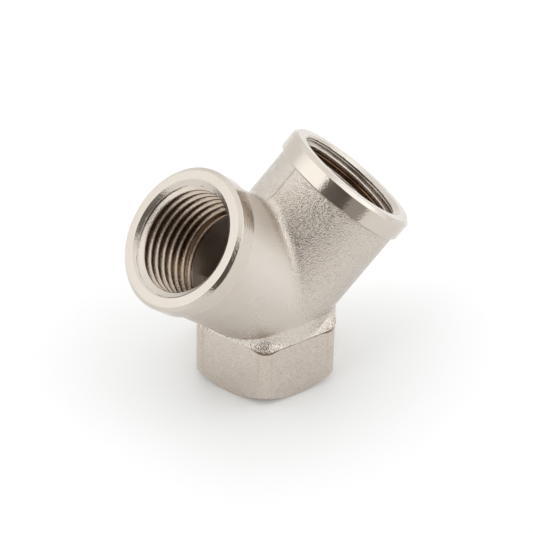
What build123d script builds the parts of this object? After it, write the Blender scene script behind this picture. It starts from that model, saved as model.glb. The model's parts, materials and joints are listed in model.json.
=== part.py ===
"""Y fitting: a one-piece forged and machined body with three female threaded ports.

Two barrels leave the junction at 45 degrees to either side of the vertical, and
a round neck with a hexagonal wrench base carries the third port underneath. All three bores meet
at the junction. Millimetres, +Z up, origin at the centre of the base's face.
"""

from build123d import *
import os
from math import sin, cos, radians

# ---- Driving dimensions ------------------------------------------------------

# Parallel pipe thread G 1/2 (ISO 228), the same in all three ports
THREAD_MAJOR_D = 20.955  # groove bottom of the female thread
THREAD_MINOR_D = 18.631  # crest of the female thread, and the drill through the body
THREAD_PITCH = 1.814

# Port bore, measured inward from the port's face
MOUTH_D = 21.36  # 45 degree countersink at the mouth
FULL_THREAD = 7.33 * THREAD_PITCH  # depth of the full-form thread
RUN_OUT_END = 14.8  # depth where the tap's run-out ends in the plain drill

# Branches
BRANCH_TILT = 45.0  # from the vertical, one branch to each side
PORT_REACH = 24.3  # junction to the face of a branch port
BARREL_D = 24.6
COLLAR_D = 26.0
COLLAR_LENGTH = 3.8
FACE_CHAMFER = 0.6

# Hexagonal base
BASE_DROP = 18.4  # junction to the base's face
ACROSS_FLATS = 24.6
HEX_CORNER_R = 2.4
HEX_TOP_DROP = 5.1  # junction down to the straight top edge of the flats
NECK_D = 24.6  # round forging between the hexagon and the branches
SHOULDER_TAPER = 45.0  # slope of the hexagon's corners, running up onto the neck
BASE_FACE_D = 24.0  # where the turned 45 degree chamfer starts

# ---- Derived sizes -----------------------------------------------------------

JUNCTION = (0, 0, BASE_DROP)
HEX_HEIGHT = BASE_DROP - HEX_TOP_DROP
SHOULDER_HEIGHT = 1.8  # enough for the corners to disappear into the neck
COUNTERSINK = (MOUTH_D - THREAD_MAJOR_D) / 2
CORNER_REACH = ACROSS_FLATS


def branch_plane(side):
    """Plane through the junction, its normal along the branch on that side."""
    tilt = radians(BRANCH_TILT)
    return Plane(origin=JUNCTION, x_dir=(0, 1, 0), z_dir=(side * sin(tilt), 0, cos(tilt)))


LEFT_BRANCH = branch_plane(-1)
RIGHT_BRANCH = branch_plane(1)
BASE = Plane(origin=JUNCTION, x_dir=(0, 1, 0), z_dir=(0, 0, -1))

# ---- Branch blank: barrel with its turned collar, axis along Z ---------------

with BuildPart() as branch_blank:
    with BuildSketch(Plane.XZ):
        with BuildLine():
            Polyline(
                (0, 0),
                (BARREL_D / 2, 0),
                (BARREL_D / 2, PORT_REACH - COLLAR_LENGTH),
                (COLLAR_D / 2, PORT_REACH - COLLAR_LENGTH),
                (COLLAR_D / 2, PORT_REACH - FACE_CHAMFER),
                (COLLAR_D / 2 - FACE_CHAMFER, PORT_REACH),
                (0, PORT_REACH),
                close=True,
            )
        make_face()
    revolve(axis=Axis.Z)

# ---- Port tool: countersink, thread bore, run-out and drill, face at Z = 0 ---


def port_tool(drill_depth):
    """Everything that one port's tools remove, from its face inward."""
    with BuildPart() as tool:
        with BuildSketch(Plane.XZ):
            with BuildLine():
                Polyline(
                    (0, 0),
                    (MOUTH_D / 2, 0),
                    (THREAD_MAJOR_D / 2, -COUNTERSINK),
                    (THREAD_MAJOR_D / 2, -FULL_THREAD),
                    (THREAD_MINOR_D / 2, -RUN_OUT_END),
                    (THREAD_MINOR_D / 2, -drill_depth),
                    (0, -drill_depth),
                    close=True,
                )
            make_face()
        revolve(axis=Axis.Z)
    return tool.part


branch_tool = port_tool(PORT_REACH)
base_tool = port_tool(BASE_DROP)

# ---- Corner tool: the turned chamfer round the foot of the hexagon -----------

with BuildPart() as corner_tool:
    with BuildSketch(Plane.XZ):
        with BuildLine():
            Polyline(
                (BASE_FACE_D / 2, 0),
                (BASE_FACE_D / 2 + CORNER_REACH, CORNER_REACH),
                (BASE_FACE_D / 2 + CORNER_REACH, 0),
                close=True,
            )
        make_face()
    revolve(axis=Axis.Z)

# ---- The fitting -------------------------------------------------------------

with BuildPart() as y_body:
    # Hexagonal wrench base, flats facing front and back, its sloped corners and the neck
    with BuildSketch(Plane.XY) as hexagon:
        RegularPolygon(radius=ACROSS_FLATS / 2, side_count=6, major_radius=False)
        fillet(hexagon.vertices(), HEX_CORNER_R)
    extrude(amount=HEX_HEIGHT)
    add(corner_tool.part, mode=Mode.SUBTRACT)
    with BuildSketch(Plane.XY.offset(HEX_HEIGHT)) as shoulder:
        RegularPolygon(radius=ACROSS_FLATS / 2, side_count=6, major_radius=False)
        fillet(shoulder.vertices(), HEX_CORNER_R)
    extrude(amount=SHOULDER_HEIGHT, taper=SHOULDER_TAPER)
    with Locations((0, 0, HEX_HEIGHT)):
        Cylinder(radius=NECK_D / 2, height=HEX_TOP_DROP, align=(Align.CENTER, Align.CENTER, Align.MIN))

    # The two branches
    with Locations(LEFT_BRANCH, RIGHT_BRANCH):
        add(branch_blank.part)

    # The three ports, which meet at the junction
    with Locations(LEFT_BRANCH.offset(PORT_REACH), RIGHT_BRANCH.offset(PORT_REACH)):
        add(branch_tool, mode=Mode.SUBTRACT)
    with Locations(BASE.offset(BASE_DROP)):
        add(base_tool, mode=Mode.SUBTRACT)

os.makedirs("parts", exist_ok=True)

y_body.part.label = "y_body"
export_step(y_body.part, "parts/y_body.step")
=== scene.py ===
import json
from math import cos, pi, radians, sin, sqrt, tan

import bpy
import numpy as np
from mathutils import Matrix, Vector


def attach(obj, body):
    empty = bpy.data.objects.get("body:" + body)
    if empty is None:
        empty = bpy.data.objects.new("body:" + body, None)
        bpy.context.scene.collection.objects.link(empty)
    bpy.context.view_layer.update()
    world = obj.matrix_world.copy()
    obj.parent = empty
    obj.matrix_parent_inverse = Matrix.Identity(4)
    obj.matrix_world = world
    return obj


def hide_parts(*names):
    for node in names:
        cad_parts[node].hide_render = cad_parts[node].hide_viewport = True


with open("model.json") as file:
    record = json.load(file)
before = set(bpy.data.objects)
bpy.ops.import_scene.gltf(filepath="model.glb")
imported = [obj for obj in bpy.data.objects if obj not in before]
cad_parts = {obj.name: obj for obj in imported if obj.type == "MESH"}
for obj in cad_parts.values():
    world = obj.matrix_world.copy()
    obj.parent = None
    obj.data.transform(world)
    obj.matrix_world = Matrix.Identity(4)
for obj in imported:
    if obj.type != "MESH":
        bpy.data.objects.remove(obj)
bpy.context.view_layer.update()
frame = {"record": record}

MM = 0.001  # shapes are worked out in millimetres, and meshes are in metres
Y_AXIS = np.array([0.0, 1.0, 0.0])
UP = np.array([0.0, 0.0, 1.0])

# ---- Sizes, millimetres ------------------------------------------------------

# G 1/2 thread (ISO 228): 55 degree flanks and rounded grooves, with crests flattened by the drill
PITCH = 1.814
CREST_R = 18.631 / 2
FLANK_ANGLE = radians(27.5)
GROOVE_ROUNDING = 0.249
CREST_FLAT = 0.302
CREST_EDGE = 0.14  # blend between a crest's flat and its flanks
FULL_THREAD = 7.33 * PITCH
RUN_OUT_END = 14.8
THREAD_STARTS = {"left": 2.86, "right": 2.5, "base": 2.86}  # depth of a crest at the front of each port
MOUTH_R = 21.36 / 2
MOUTH_SLOPE = 1.25  # of the countersink that cuts the first crest
LINER_DEPTH = 14.9
LINER_TAPER = 13.5  # where the back of the threaded wall starts to narrow
LINER_STEP = 0.06
LINER_TURN_STEPS = 200

BARREL_R = 12.3
COLLAR_R = 13.0
COLLAR_LENGTH = 3.8
COLLAR_CAP_INSET = 2  # the cap on a collar's back starts this far in from its surface, inside the barrel
UNDER_COLLAR = 1.5  # the forged barrel runs on this far inside its collar
FACE_CHAMFER = 0.6
EDGE_BREAK = 0.12
CHAMFER_BREAK_LENGTH = 0.1
CHAMFER_BREAK_DEPTH = 0.06

HEX_APOTHEM = 24.6 / 2
HEX_CORNER_R = 2.4
HEX_TOP_DROP = 5.1
SHOULDER_TAPER = radians(45)
SHOULDER_PROUD = 0.05
SHOULDER_HEIGHT = 3.0
PARTING_Y = 0.6
FORGING_SHIFT = np.array([0.10, -0.08, 0.0])  # the forged skin sits a little off the machined axes
BASE_FACE_R = 12.0

VALLEY_BLEND = 2.1
SHOULDER_BLEND = 0.35
NET_STEP = 0.34
NET_LOW = np.array([-30.0, -15, -2.05])
NET_HIGH = np.array([30.0, 15, 48])
ROUND_STEPS = 192
SHARP_ANGLE = radians(32)

TRIM = 1.0  # the cutting tools and the rough forging run on past the finished surfaces by this much
MILL_R = 30
MILL_FOOT = -10
MILL_STEPS = 24
MILL_CLEARANCE = 5
FOOT_TOOL_R = 40

# ---- Places, from the frame --------------------------------------------------

mounts = {m["name"]: m for m in frame["record"]["mounts"]}


def port_place(side):
    """Centre of a port's face, in millimetres, and its outward axis."""
    axis = np.array(mounts[side + "_port"]["axis"], float)
    axis /= np.linalg.norm(axis)
    on_axis = np.array(mounts[side + "_port"]["pos_m"]) / MM
    on_face = np.array(mounts[side + "_face"]["pos_m"]) / MM
    return on_axis + ((on_face - on_axis) @ axis) * axis, axis


PORTS = {side: port_place(side) for side in ("left", "right", "base")}
BRANCHES = ("left", "right")
MAJOR_R = mounts["base_port"]["dims"]["r_mm"]
left_face, left_axis = PORTS["left"]
REACH = left_face[0] / left_axis[0]
JUNCTION = left_face - REACH * left_axis
HEX_TOP = JUNCTION[2] - HEX_TOP_DROP

# ---- Mesh helpers ------------------------------------------------------------


def mesh_object(name, points, faces):
    """A mesh object from points in millimetres."""
    mesh = bpy.data.meshes.new(name)
    mesh.from_pydata((np.asarray(points) * MM).tolist(), [], faces)
    mesh.validate()
    mesh.update()
    obj = bpy.data.objects.new(name, mesh)
    bpy.context.scene.collection.objects.link(obj)
    return obj


def across(axis):
    """Two unit directions square to an axis without Y, right-handed with it, the first towards the front."""
    first = -Y_AXIS
    return first, np.cross(axis, first)


def circle(axis, steps):
    """Angles round an axis, and the unit directions out from it at those angles."""
    u, v = across(axis)
    turn = np.linspace(0, 2 * pi, steps, endpoint=False)
    return turn, np.cos(turn)[:, None] * u + np.sin(turn)[:, None] * v


def off_axis(points, face, axis):
    """How far points are outside a port's face, and their offsets from its axis."""
    along = (points - face) @ axis
    return along, points - face - along[:, None] * axis


def held(profile, margin=0.04):
    """The profile with a point close to both ends of every long stretch, so that shading stays flat along it."""
    points = [(profile[0][0] - margin, profile[0][1])]
    for (r0, s0), (r1, s1) in zip(profile, profile[1:]):
        points.append((r0, s0))
        length = sqrt((r1 - r0) ** 2 + (s1 - s0) ** 2)
        if length > 6 * margin:
            for k in (margin / length, 1 - margin / length):
                points.append((r0 + k * (r1 - r0), s0 + k * (s1 - s0)))
    return points + [profile[-1], (profile[-1][0] - margin, profile[-1][1])]


def turned(name, profile, centre, axis, steps=ROUND_STEPS, ring=False):
    """A closed solid of revolution. profile: (radius, distance out along axis) from one end to the other.
    A ring's profile closes on itself, and any other is capped at both ends."""
    _, outward = circle(axis, steps)
    points = np.concatenate([centre + s * axis + r * outward for r, s in profile])
    rows = len(profile)
    faces = []
    for row in range(rows if ring else rows - 1):
        a, b = row * steps, (row + 1) % rows * steps
        for i in range(steps):
            j = (i + 1) % steps
            faces.append((a + i, a + j, b + j, b + i))
    if not ring:
        faces.append(tuple(range(steps))[::-1])
        faces.append(tuple(range((rows - 1) * steps, rows * steps)))
    return mesh_object(name, points, faces)


def rounded_hexagon(apothem, corner_r, steps=10):
    """Outline of the hexagon with rounded corners, flats square to Y."""
    centre = (apothem - corner_r) / cos(pi / 6)
    outline = []
    for corner in (radians(60 * k) for k in range(6)):
        for t in corner + np.linspace(-pi / 6, pi / 6, steps):
            outline.append((centre * cos(corner) + corner_r * cos(t), centre * sin(corner) + corner_r * sin(t)))
    return outline


def prism(name, outline, low, high):
    n = len(outline)
    points = [(x, y, z) for z in (low, high) for x, y in outline]
    faces = [(i, (i + 1) % n, n + (i + 1) % n, n + i) for i in range(n)]
    faces += [tuple(range(n))[::-1], tuple(range(n, 2 * n))]
    return mesh_object(name, points, faces)


def boolean(obj, tool, operation):
    """Applies one boolean to obj, and removes the tool."""
    modifier = obj.modifiers.new("cut", "BOOLEAN")
    modifier.operation = operation
    modifier.object = tool
    modifier.solver = "MANIFOLD"
    depsgraph = bpy.context.evaluated_depsgraph_get()
    mesh = bpy.data.meshes.new_from_object(obj.evaluated_get(depsgraph))
    obj.modifiers.clear()
    old = obj.data
    obj.data = mesh
    bpy.data.meshes.remove(old)
    bpy.data.objects.remove(tool)


# ---- The forging: a smooth blend of two barrels, a neck and a hexagonal foot -


def barrel(p, axis):
    """Distance from a branch's forged barrel, and the direction out from its axis."""
    along, out = off_axis(p, JUNCTION, axis)
    radius = np.linalg.norm(out, axis=1)
    ends = np.maximum(-along, along - (REACH - COLLAR_LENGTH + UNDER_COLLAR))
    side = radius - BARREL_R
    distance = np.hypot(np.maximum(side, 0), np.maximum(ends, 0)) + np.minimum(np.maximum(side, ends), 0)
    return distance, out / np.maximum(radius, 1e-6)[:, None]


def hexagon_distance(p, apothem, corner_r):
    """Distance in plan from the rounded hexagon with that apothem, which may vary by point."""
    x, y = np.abs(p[:, 0]), np.abs(p[:, 1])
    inner = apothem - corner_r
    # fold onto the nearest flat: flats face Y and 30 degrees either side of X
    outward = x * cos(pi / 6) + y * sin(pi / 6)
    fold = outward > y
    outward = np.where(fold, outward, y)
    sideways = np.where(fold, -x * sin(pi / 6) + y * cos(pi / 6), x)
    beyond = np.maximum(np.abs(sideways) - inner * tan(pi / 6), 0)
    off = outward - inner
    return np.where(off > 0, np.hypot(off, beyond), np.maximum(off, -inner)) - corner_r


def smooth_union(a, b, blend):
    blend = np.maximum(blend, 1e-6)
    h = np.maximum(blend - np.abs(a - b), 0) / blend
    return np.minimum(a, b) - h * h * blend / 4


def forging_distance(p):
    p = p - FORGING_SHIFT
    (left, left_out), (right, right_out) = (barrel(p, PORTS[side][1]) for side in BRANCHES)
    # the fillet fades out where the two barrels run into each other smoothly
    valley = VALLEY_BLEND * (1 - (left_out * right_out).sum(1)).clip(0, 1)
    below = -TRIM - p[:, 2]
    neck = np.maximum(np.hypot(p[:, 0], p[:, 1]) - BARREL_R, np.maximum(below, p[:, 2] - JUNCTION[2]))
    rise = np.maximum(p[:, 2] - HEX_TOP, 0)
    foot = hexagon_distance(p, HEX_APOTHEM + SHOULDER_PROUD - rise * tan(SHOULDER_TAPER), HEX_CORNER_R)
    foot = np.maximum(foot * cos(SHOULDER_TAPER), np.maximum(below, p[:, 2] - HEX_TOP - SHOULDER_HEIGHT))
    return smooth_union(np.minimum(smooth_union(left, right, valley), neck), foot, SHOULDER_BLEND)


def gradient(distance, points, step=0.01):
    return np.stack([(distance(points + h) - distance(points - h)) / (2 * step) for h in step * np.eye(3)], 1)


def surface_net(distance, low, high, step, settling=4):
    """Quads round the zero level of a distance function, each point drawn onto the surface."""
    axes = [np.arange(a, b, step) for a, b in zip(low, high)]
    shape = [len(a) for a in axes]
    grid = np.stack(np.meshgrid(*axes, indexing="ij"), -1).reshape(-1, 3)
    inside = (distance(grid) < 0).reshape(shape)
    corners = [
        inside[i : shape[0] - 1 + i, j : shape[1] - 1 + j, k : shape[2] - 1 + k]
        for i in (0, 1) for j in (0, 1) for k in (0, 1)
    ]
    count = sum(c.astype(int) for c in corners)
    mixed = (count > 0) & (count < 8)
    index = np.full(mixed.shape, -1)
    index[mixed] = np.arange(mixed.sum())
    points = (np.argwhere(mixed) + 0.5) * step + low
    faces = []
    for d in range(3):
        e, f = (d + 1) % 3, (d + 2) % 3
        first, second = [slice(None)] * 3, [slice(None)] * 3
        first[d], second[d] = slice(0, -1), slice(1, None)
        change = inside[tuple(first)].astype(int) - inside[tuple(second)]
        for sign in (1, -1):
            crossings = np.argwhere(change == sign)
            ring = []
            for de, df in ((0, 0), (1, 0), (1, 1), (0, 1)):
                cell = crossings.copy()
                cell[:, e] -= 1 - de
                cell[:, f] -= 1 - df
                ring.append(index[tuple(cell.T)])
            quad = np.stack(ring, 1)
            faces.append(quad if sign > 0 else quad[:, ::-1])
    for _ in range(settling):
        slope = gradient(distance, points)
        points = points - (distance(points) / (slope**2).sum(1))[:, None] * slope
    return points, np.concatenate(faces).tolist()


body = mesh_object("y_forging", *surface_net(forging_distance, NET_LOW, NET_HIGH, NET_STEP))

# Hexagon milled below the shoulder, foot turned
origin = np.zeros(3)
mill = turned("mill", [(MILL_R, MILL_FOOT), (MILL_R, HEX_TOP)], origin, UP, MILL_STEPS)
hexagon = prism("hexagon", rounded_hexagon(HEX_APOTHEM, HEX_CORNER_R), 0, HEX_TOP + MILL_CLEARANCE)
boolean(mill, hexagon, "DIFFERENCE")
boolean(body, mill, "DIFFERENCE")
foot_profile = [(BASE_FACE_R - TRIM, -TRIM), (FOOT_TOOL_R, -TRIM), (FOOT_TOOL_R, FOOT_TOOL_R - BASE_FACE_R)]
boolean(body, turned("foot_tool", foot_profile, origin, UP, ring=True), "DIFFERENCE")

# Collars
collar_profile = held([
    (COLLAR_R - COLLAR_CAP_INSET, -COLLAR_LENGTH),
    (COLLAR_R - EDGE_BREAK, -COLLAR_LENGTH),
    (COLLAR_R, -COLLAR_LENGTH + EDGE_BREAK),
    (COLLAR_R, -FACE_CHAMFER - CHAMFER_BREAK_LENGTH),
    (COLLAR_R - CHAMFER_BREAK_DEPTH, -FACE_CHAMFER),
    (COLLAR_R - FACE_CHAMFER, -CHAMFER_BREAK_DEPTH),
    (COLLAR_R - FACE_CHAMFER - CHAMFER_BREAK_LENGTH, 0),
])
for side in BRANCHES:
    boolean(body, turned("collar", collar_profile, *PORTS[side]), "UNION")

# Ports
for face, axis in PORTS.values():
    depth = (face - JUNCTION) @ axis
    bore_profile = [(CREST_R, -depth), (CREST_R, -LINER_DEPTH), (MOUTH_R, -LINER_TAPER), (MOUTH_R, TRIM)]
    boolean(body, turned("bore", bore_profile, face, axis), "DIFFERENCE")

# ---- Threads -----------------------------------------------------------------

GROOVE_STAIN, OVERALL_STAIN, INWARD_STAIN = 0.9, 0.15, 0.35
STAIN_STARTS, STAIN_FADE = 1.2, 1.5  # depth where the stain starts, and over which it fades in


def groove(phase):
    """Radius of the thread's surface, phase running from 0 to 1 between two crests."""
    t = np.abs((phase + 0.5) % 1 - 0.5) * PITCH  # distance from the crest's middle
    flank = CREST_R + (t - CREST_FLAT / 2) / tan(FLANK_ANGLE)
    crest = -smooth_union(np.full_like(t, -CREST_R), -flank, CREST_EDGE)
    far = PITCH / 2 - t
    root = MAJOR_R - GROOVE_ROUNDING + np.sqrt(np.maximum(GROOVE_ROUNDING**2 - far**2, 0))
    return np.where(far < GROOVE_ROUNDING * cos(FLANK_ANGLE), root, crest)


def thread_liner(face, axis, start):
    """The threaded wall of a port, from its mouth to the plain drill, and how stained each point is."""
    turn, outward = circle(axis, LINER_TURN_STEPS)
    depth = np.concatenate([[0], np.arange(LINER_STEP / 2, LINER_DEPTH, LINER_STEP), [LINER_DEPTH]])
    s, a = np.meshgrid(depth, turn, indexing="ij")
    r = groove((s + PITCH * a / (2 * pi) - start) / PITCH)
    run_out = np.clip((RUN_OUT_END - s) / (RUN_OUT_END - FULL_THREAD), 0, 1)
    r = np.minimum(r, CREST_R + (MAJOR_R - CREST_R) * run_out)
    r = np.maximum(r, MOUTH_R - MOUTH_SLOPE * s)
    inner = face - s[..., None] * axis + r[..., None] * outward[None]
    outer = face - LINER_TAPER * axis + MOUTH_R * outward
    points = np.concatenate([inner.reshape(-1, 3), outer])
    # rows of points down the wall, then the one ring behind it, then the first row again
    index = np.arange(len(points)).reshape(len(depth) + 1, LINER_TURN_STEPS)
    index = np.concatenate([index, index[:1]])
    following = np.roll(index, -1, axis=1)
    faces = np.stack([index[:-1], following[:-1], following[1:], index[1:]], -1).reshape(-1, 4)
    in_groove = (r - CREST_R) / (MAJOR_R - CREST_R)
    stain = (GROOVE_STAIN * in_groove + OVERALL_STAIN + INWARD_STAIN * (s / LINER_DEPTH).clip(0, 1)).clip(0, 1)
    stain *= ((s - STAIN_STARTS) / STAIN_FADE).clip(0, 1)
    return points, faces.tolist(), np.concatenate([stain.ravel(), np.ones(LINER_TURN_STEPS)])


# ---- Materials ---------------------------------------------------------------

NICKEL = (0.61, 0.552, 0.493, 1)
NICKEL_MILLED = (0.575, 0.507, 0.45, 1)
NICKEL_LIGHT = (0.73, 0.67, 0.61, 1)
# painted light on the left barrel's side of the fork
NICKEL_FORK_PAINTED_LIGHT = (0.70, 0.642, 0.584, 1)
CLOUD_TINT = (0.975, 0.964, 0.953, 1)
# dark brown for stains, pits and dirt, and for the painted shade behind the collars
STAIN_AND_SHADE = (0.30, 0.22, 0.15, 1)
BROWN = (0.36, 0.25, 0.165, 1)
STREAK = (0.5, 0.38, 0.24, 1)
# painted shadow under the shoulder's edge
SHOULDER_SHADOW = (0.16, 0.11, 0.075, 1)
FLOOR_WHITE = (0.97, 0.97, 0.97, 1)

# Texture of the plating, in millimetres, and its share of the height and of the roughness
CLOUD_SIZE, PATCH_SIZE, PIT_SIZE, BORE_PATCH_SIZE = 9.0, 2.2, 0.8, 3.0
PATCH_HEIGHT, PATCH_ROUGHNESS = 0.08, 0.04
BORE_BROWN = (0.1, 0.4)

# Marks, in millimetres: the range over which each starts or fades, and how strong it is
LINE_OFF, LINE_HEIGHT = (0.05, 0.16), 0.7
SMOOTH_X, SMOOTH_HEIGHT = (-2, 1.5), 0.5
DULL_X, DULL_ROUGHNESS = (-13, -6), 0.15
FORK_UPHILL, FORK_X, FORK_Y, FORK_ROUGHNESS = (0, 7), (-2.5, -0.5), (-2, 3), 0.24
# painted shade in the corner behind each collar
COLLAR_CORNER, COLLAR_PAINTED_SHADE = (-0.34, -0.08), 0.65
# painted shadow under the shoulder's edge: where it fades out at the left, its strength, and how far it hangs
SHOULDER_SHADOW_X, SHOULDER_SHADOW_STRENGTH = (-9.2, -7.8), 0.9
SHOULDER_SHADOW_R, SHOULDER_SHADOW_DROP, SHOULDER_SHADOW_EDGE = (13.0, 13.5), (0.32, 0.62), 0.05
STREAK_R, STREAK_OFF, STREAK_Z, STREAK_STRENGTH = 13.56, (0.03, 0.13), (3, 10), (0.05, 0.3)
DIRT_R, DIRT_GRAIN, DIRT_STRENGTH = (12.6, 13.6), 0.3, (0.1, 0.75)


class Nodes:
    """A node tree, with a short way to add and join nodes."""

    def __init__(self, tree):
        self.tree = tree

    def add(self, kind, inputs=(), **settings):
        node = self.tree.nodes.new(kind)
        for key, value in settings.items():
            setattr(node, key, value)
        for key, value in dict(inputs).items():
            self.put(node.inputs[key], value)
        return node

    def put(self, socket, value):
        if isinstance(value, bpy.types.NodeSocket):
            self.tree.links.new(value, socket)
        else:
            socket.default_value = value

    def math(self, operation, *values):
        return self.add("ShaderNodeMath", enumerate(values), operation=operation).outputs[0]

    def dot(self, vector, towards):
        return self.add("ShaderNodeVectorMath", {0: vector, 1: towards}, operation="DOT_PRODUCT").outputs["Value"]

    def spread(self, value, low, high, out_low=0.0, out_high=1.0, **settings):
        """The value carried from low..high to out_low..out_high, and held there."""
        inputs = {"Value": value, "From Min": low, "From Max": high, "To Min": out_low, "To Max": out_high}
        return self.add("ShaderNodeMapRange", inputs, **settings).outputs["Result"]


class Shader(Nodes):
    """One material's nodes."""

    def __init__(self, name, depth):
        self.material = bpy.data.materials.new(name)
        self.material.use_nodes = True
        super().__init__(self.material.node_tree)
        self.place = self.add("ShaderNodeTexCoord").outputs["Object"]
        self.x, self.y, self.z = self.add("ShaderNodeSeparateXYZ", {0: self.place}).outputs
        self.depth = depth

    def noise(self, period, detail=2.0):
        """Noise, mostly 0.3 to 0.7, with features about that many millimetres across."""
        inputs = {"Vector": self.place, "Scale": 1 / (period * MM), "Detail": detail, "Roughness": 0.5}
        return self.add("ShaderNodeTexNoise", inputs).outputs["Fac"]

    def ramp(self, length, low, high, out_low=0.0, out_high=1.0):
        """A spread of a length, from low to high millimetres."""
        return self.spread(length, low * MM, high * MM, out_low, out_high)

    def away(self, length, from_mm):
        """How far a length is from that many millimetres."""
        return self.math("ABSOLUTE", self.math("SUBTRACT", length, from_mm * MM))

    def from_base_axis(self):
        return self.math("SQRT", self.math("ADD", self.math("POWER", self.x, 2.0), self.math("POWER", self.y, 2.0)))

    def tint(self, factor, colour):
        """Blends a colour over what is there."""
        node = self.add("ShaderNodeMix", data_type="RGBA")
        for k, value in ((0, factor), (6, self.colour), (7, colour)):
            self.put(node.inputs[k], value)
        self.colour = node.outputs[2]

    def finish(self):
        surface = self.tree.nodes["Principled BSDF"].inputs
        bump = self.add("ShaderNodeBump", {"Height": self.height, "Distance": self.depth * MM})
        self.put(surface["Base Color"], self.colour)
        self.put(surface["Metallic"], 1.0)
        self.put(surface["Roughness"], self.rough)
        self.put(surface["Normal"], bump.outputs["Normal"])


def plating(name, roughness, grain, depth, pits=0.0, speckle=0.0, lighter=0.0, plate=NICKEL):
    """Nickel plate over one kind of brass surface. grain: size of its texture, and depth: its height, in mm.
    pits and speckle: strength of the few dark specks and of the light and dark grain. lighter: overall."""
    s = Shader(name, depth)
    cloud, patch = s.noise(CLOUD_SIZE, 4.0), s.noise(PATCH_SIZE, 3.0)
    s.colour = plate
    s.tint(s.spread(cloud, 0.35, 0.68), tuple(a * b for a, b in zip(plate, CLOUD_TINT)))
    if speckle:
        s.tint(s.spread(s.noise(grain, 1.0), 0.3, 0.7, lighter, lighter + 2 * speckle), NICKEL_LIGHT)
        s.tint(s.spread(s.noise(1.2 * grain, 1.0), 0.6, 0.75, 0.0, 1.3 * speckle), STAIN_AND_SHADE)
    if pits:
        s.tint(s.spread(s.noise(PIT_SIZE, 1.0), 0.80, 0.84, 0.0, pits), STAIN_AND_SHADE)
    s.rough = s.spread(patch, 0.3, 0.7, roughness - PATCH_ROUGHNESS, roughness + PATCH_ROUGHNESS)
    s.height = s.math("MULTIPLY_ADD", patch, PATCH_HEIGHT, s.noise(grain, 0.0))
    return s


forged = plating("nickel_forged", 0.2, 0.19, 0.13, pits=0.5, speckle=0.05)
shoulder = plating("nickel_shoulder", 0.24, 0.24, 0.13, speckle=0.16, lighter=0.45)
turned_skin = plating("nickel_turned", 0.14, 0.34, 0.016)
milled = plating("nickel_milled", 0.3, 0.24, 0.05, pits=0.2, speckle=0.36, plate=NICKEL_MILLED)
drilled = plating("nickel_drilled", 0.4, 0.5, 0.02)
threaded = plating("nickel_threaded", 0.24, 0.3, 0.02)


def forged_marks(s):
    """Uneven grain, the forging's parting line, painted light on the left barrel's side of the fork and painted shade
    behind the collars.
    """
    # The left side of the forging is smoother in grain, and duller
    s.height = s.math("MULTIPLY", s.height, s.ramp(s.x, *SMOOTH_X, SMOOTH_HEIGHT, 1.0))
    s.rough = s.math("ADD", s.rough, s.ramp(s.x, *DULL_X, DULL_ROUGHNESS, 0.0))

    # The parting line runs over the top of the barrels
    line = s.ramp(s.away(s.y, PARTING_Y), *LINE_OFF, 1.0, 0.0)
    s.height = s.math("ADD", s.height, s.math("MULTIPLY", line, LINE_HEIGHT))

    # The left barrel's side of the fork is painted lighter, to offset the dark reflection of the right barrel there,
    # and is a little duller
    uphill = s.math("ADD", s.x, s.math("SUBTRACT", s.z, JUNCTION[2] * MM))
    fork = s.math("MULTIPLY", s.ramp(uphill, *FORK_UPHILL), s.ramp(s.x, *FORK_X, 1.0, 0.0))
    fork = s.math("MULTIPLY", fork, s.ramp(s.y, *FORK_Y, 1.0, 0.0))
    s.tint(fork, NICKEL_FORK_PAINTED_LIGHT)
    s.rough = s.math("MULTIPLY_ADD", fork, FORK_ROUGHNESS, s.rough)

    # Painted shade darkens the corner behind each collar
    for face, axis in (PORTS[side] for side in BRANCHES):
        edge = face @ axis - COLLAR_LENGTH
        low, high = (edge + k for k in COLLAR_CORNER)
        s.tint(s.ramp(s.dot(s.place, axis.tolist()), low, high, 0.0, COLLAR_PAINTED_SHADE), STAIN_AND_SHADE)


def milled_marks(s):
    """Brown streaks, and a painted shadow under the shoulder's edge, on the hexagon."""
    radius = s.from_base_axis()

    # Brown streaks run down the corners
    streak = s.ramp(s.away(radius, STREAK_R), *STREAK_OFF, 1.0, 0.0)
    s.tint(s.math("MULTIPLY", streak, s.ramp(s.z, *STREAK_Z, *STREAK_STRENGTH)), STREAK)

    # Painted shadow hangs under the shoulder's overhanging edge, lower at the corners, everywhere but at the far left
    lower_edge = s.ramp(radius, *SHOULDER_SHADOW_R, *((HEX_TOP - drop) * MM for drop in SHOULDER_SHADOW_DROP))
    above = s.ramp(s.math("SUBTRACT", s.z, lower_edge), 0, SHOULDER_SHADOW_EDGE)
    s.tint(s.math("MULTIPLY", s.ramp(s.x, *SHOULDER_SHADOW_X, 0.0, SHOULDER_SHADOW_STRENGTH), above), SHOULDER_SHADOW)


def shoulder_marks(s):
    """Dirt on the shoulder's corners."""
    patchy = s.spread(s.noise(DIRT_GRAIN, 1.0), 0.4, 0.62, *DIRT_STRENGTH)
    s.tint(s.math("MULTIPLY", s.ramp(s.from_base_axis(), *DIRT_R), patchy), STAIN_AND_SHADE)


forged_marks(forged)
milled_marks(milled)
shoulder_marks(shoulder)

# The bores are stained brown, most in the bottoms of the thread's grooves
for bore in (drilled, threaded):
    bore.colour = NICKEL
drilled.tint(drilled.spread(drilled.noise(BORE_PATCH_SIZE), 0.3, 0.7, *BORE_BROWN), BROWN)
threaded.tint(threaded.add("ShaderNodeAttribute", attribute_name="groove").outputs["Fac"], BROWN)

for shader in (forged, turned_skin, milled, drilled, shoulder, threaded):
    shader.finish()

# ---- Dressing the meshes -----------------------------------------------------

FORGED, TURNED, MILLED, DRILLED, SHOULDER = range(5)
SKINS = (forged, turned_skin, milled, drilled, shoulder)
SHOULDER_ZONE_HEIGHT = 4
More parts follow.
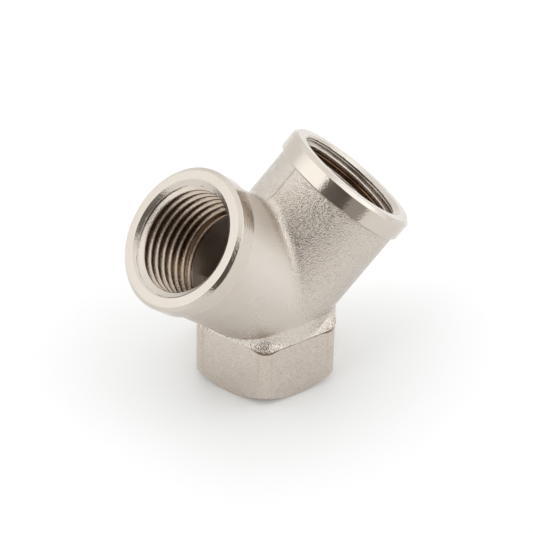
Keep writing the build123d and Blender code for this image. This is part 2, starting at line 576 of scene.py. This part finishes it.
# Allowances for faces that lie on the boundary between two zones
OFF_BARRELS = 0.05
ON_EDGE = 0.02
FLAT_EDGE = 0.01
PAST_JUNCTION = 1


def read(collection, key, width, kind=float):
    """One value or vector of every item, a row each."""
    values = np.empty(width * len(collection), kind)
    collection.foreach_get(key, values)
    return values.reshape(-1, width) if width > 1 else values


def zones(mesh):
    """Which kind of surface each face of the body is."""
    centres, normals = read(mesh.polygons, "center", 3) / MM, read(mesh.polygons, "normal", 3)
    height = centres[:, 2]
    zone = np.full(len(centres), FORGED)
    off_barrels = np.minimum(*(barrel(centres - FORGING_SHIFT, PORTS[side][1])[0] for side in BRANCHES))
    zone[(height < HEX_TOP + SHOULDER_ZONE_HEIGHT) & (off_barrels > OFF_BARRELS)] = SHOULDER
    zone[height < HEX_TOP + FLAT_EDGE] = MILLED
    zone[(height < HEX_TOP / 2) & (normals[:, 2] < -0.5)] = TURNED
    for face, axis in (PORTS[side] for side in BRANCHES):
        zone[(centres - face) @ axis > -COLLAR_LENGTH - ON_EDGE] = TURNED
    for face, axis in PORTS.values():
        along, out = off_axis(centres, face, axis)
        inside = (np.linalg.norm(out, axis=1) < MOUTH_R + ON_EDGE) & ((normals * out).sum(1) < 0)
        zone[inside & (along > -REACH - PAST_JUNCTION)] = DRILLED
    return zone


liners = []
for side, place in PORTS.items():
    points, faces, stain = thread_liner(*place, THREAD_STARTS[side])
    liner = mesh_object(side + "_thread", points, faces)
    liner.data.attributes.new("groove", "FLOAT", "POINT").data.foreach_set("value", stain)
    liner.data.materials.append(threaded.material)
    liners.append(liner)
body.data.materials.clear()
for skin in SKINS:
    body.data.materials.append(skin.material)
body_zones = zones(body.data)
body.data.polygons.foreach_set("material_index", body_zones)

for obj in [body, *liners]:
    obj.data.shade_smooth()
    obj.data.set_sharp_from_angle(angle=SHARP_ANGLE)

# The forged skin is shaded by the shape it was drawn from
corners_of_face = read(body.data.polygons, "loop_total", 1, int)
on_forging = np.isin(np.repeat(body_zones, corners_of_face), (FORGED, SHOULDER))
point_of_corner = read(body.data.loops, "vertex_index", 1, int)
corner_normals = read(body.data.corner_normals, "vector", 3, np.float32)
slope = gradient(forging_distance, read(body.data.vertices, "co", 3) / MM)[point_of_corner[on_forging]]
corner_normals[on_forging] = slope / np.linalg.norm(slope, axis=1)[:, None]
body.data.normals_split_custom_set(corner_normals.tolist())

for obj in [body, *liners]:
    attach(obj, "root")
    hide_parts("y_body")

# ---- Stage and light ---------------------------------------------------------

FLOOR_HALF = 200
AMBIENT = 1.01
# Softboxes round the fitting and overhead: azimuth, elevation, core and edge radius, gain
SOFTBOXES = (
    (-98, 34, 5, 52, 0.62), (68, 39, 8, 32, 0.62), (62, 12, 5, 26, 0.28), (24, 75, 5, 25, 0.15), (165, 60, 10, 45, 0.2),
    (33, 44, 5, 22, 0.24),
)
# The dark side of the studio, round the camera: corners (azimuth, elevation) and the light lost
DARK = (
    (((-72, 7), (-25, 7), (-3, 62), (-74, 62)), 0.875),
    (((-36, -13), (-3, -13), (4, 20), (-30, 20)), 0.58),
)
DARK_EDGE = sin(radians(5))
# Dim light is warm and bright light a little cool
WARM, NEUTRAL, COOL = (1, 0.90, 0.80, 1), (1, 1, 1, 1), (0.97, 1, 1.0, 1)
NEUTRAL_AT, TINT_SCALE = 0.55, 0.6

floor_corners = [(x * FLOOR_HALF, y * FLOOR_HALF, 0) for x, y in ((-1, -1), (1, -1), (1, 1), (-1, 1))]
floor = mesh_object("floor", floor_corners, [(0, 1, 2, 3)])
white = bpy.data.materials.new("floor_white")
white.use_nodes = True
white.node_tree.nodes["Principled BSDF"].inputs["Base Color"].default_value = FLOOR_WHITE
floor.data.materials.append(white)

bpy.context.scene.view_settings.view_transform = "Standard"

world = bpy.data.worlds.new("studio")
world.use_nodes = True
bpy.context.scene.world = world
studio = Nodes(world.node_tree)
looking = studio.add("ShaderNodeTexCoord").outputs["Generated"]


def direction(azimuth, elevation):
    """Unit vector to a place round the fitting: azimuth from the front towards the right, in degrees."""
    a, e = radians(azimuth), radians(elevation)
    return sin(a) * cos(e), -cos(a) * cos(e), sin(e)


def near(towards, low, high):
    """0 to 1 as the dot product of the view and a direction goes from low to high."""
    return studio.spread(studio.dot(looking, towards), low, high, interpolation_type="SMOOTHSTEP")


def softbox(azimuth, elevation, inner, outer):
    """1 within inner degrees of a direction, fading to 0 at outer."""
    return near(direction(azimuth, elevation), cos(radians(outer)), cos(radians(inner)))


def panel(corners):
    """1 inside a four-sided patch of directions, corners anticlockwise as seen from outside."""
    inside = 1.0
    for a, b in zip(corners, corners[1:] + corners[:1]):
        edge = Vector(direction(*a)).cross(Vector(direction(*b))).normalized()
        inside = studio.math("MINIMUM", inside, near(edge, -DARK_EDGE, DARK_EDGE))
    return inside


light, shade = AMBIENT, 0.0
for *spot, gain in SOFTBOXES:
    light = studio.math("ADD", light, studio.math("MULTIPLY", softbox(*spot), gain))
for corners, loss in DARK:
    shade = studio.math("MAXIMUM", shade, studio.math("MULTIPLY", panel(corners), loss))
light = studio.math("MULTIPLY", light, studio.math("SUBTRACT", 1.0, shade))
tint = studio.add("ShaderNodeValToRGB", {"Fac": studio.math("MULTIPLY", light, TINT_SCALE)})
tint.color_ramp.elements[0].color = WARM
tint.color_ramp.elements[1].color = COOL
tint.color_ramp.elements.new(NEUTRAL_AT).color = NEUTRAL
background = world.node_tree.nodes["Background"].inputs
studio.put(background["Strength"], light)
studio.put(background["Color"], tint.outputs["Color"])

# ---- Camera ------------------------------------------------------------------

AZIMUTH, ELEVATION, ROLL = radians(30.546), radians(43.285), radians(1.355)
DISTANCE = 516.31
LENS, SENSOR = 196.57, 36
AIM = JUNCTION + np.array([0.697, 1.214, 1.486])

back = np.array([-sin(AZIMUTH) * cos(ELEVATION), -cos(AZIMUTH) * cos(ELEVATION), sin(ELEVATION)])
level = np.array([cos(AZIMUTH), -sin(AZIMUTH), 0])
rise = np.cross(back, level)
to_right = cos(ROLL) * level + sin(ROLL) * rise
to_top = -sin(ROLL) * level + cos(ROLL) * rise
camera_data = bpy.data.cameras.new("camera")
camera_data.lens = LENS
camera_data.sensor_width = SENSOR
camera = bpy.data.objects.new("camera", camera_data)
camera_place = Matrix(np.stack([to_right, to_top, back], 1).tolist()).to_4x4()
camera_place.translation = Vector((AIM + DISTANCE * back) * MM)
camera.matrix_world = camera_place
bpy.context.scene.collection.objects.link(camera)
bpy.context.scene.camera = camera
